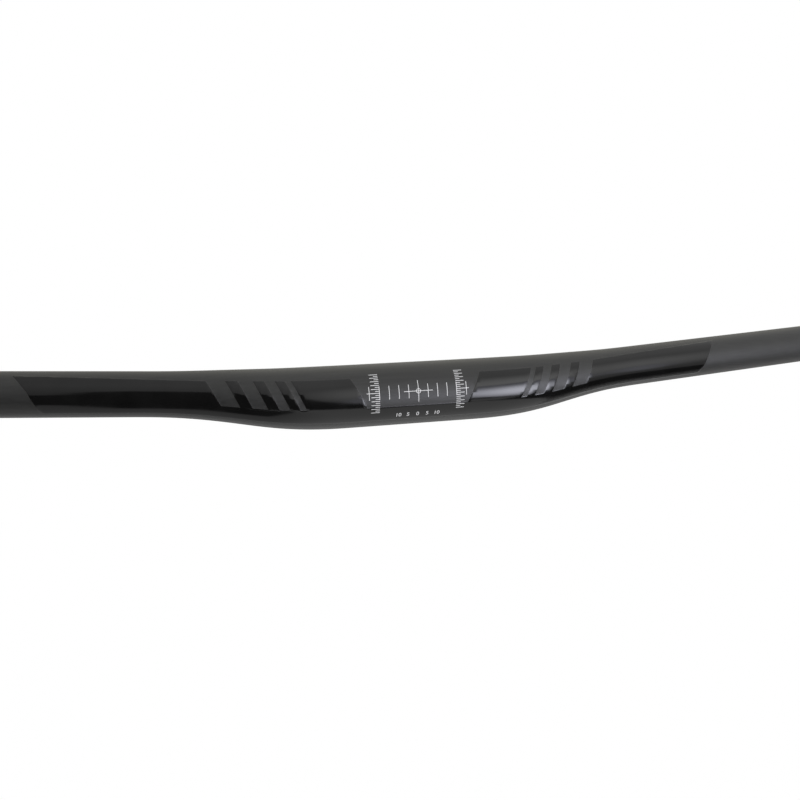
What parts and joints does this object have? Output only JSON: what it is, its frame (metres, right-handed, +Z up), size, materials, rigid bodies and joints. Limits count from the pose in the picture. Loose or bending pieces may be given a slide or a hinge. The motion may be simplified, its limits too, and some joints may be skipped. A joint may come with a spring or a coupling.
{
  "type": "bicycle handlebar",
  "caption": "Low-rise bicycle handlebar: a hollow carbon tube, thick where the stem clamps it, that bends up and back and narrows to a straight run for each grip.",
  "frame": {"origin": "middle of the clamp run, on its axis", "axes": "+X along the clamp run to the right as seen from the front of the bicycle, +Y back towards the rider, +Z up"},
  "size_m": [0.7432, 0.0682, 0.0517],
  "materials": {
    "carbon": "matte clear coat over carbon fibre, with a gloss black panel and a white printed scale on the front"
  },
  "bodies": {
    "root": {"handlebar": "carbon"}
  },
  "joints": []
}
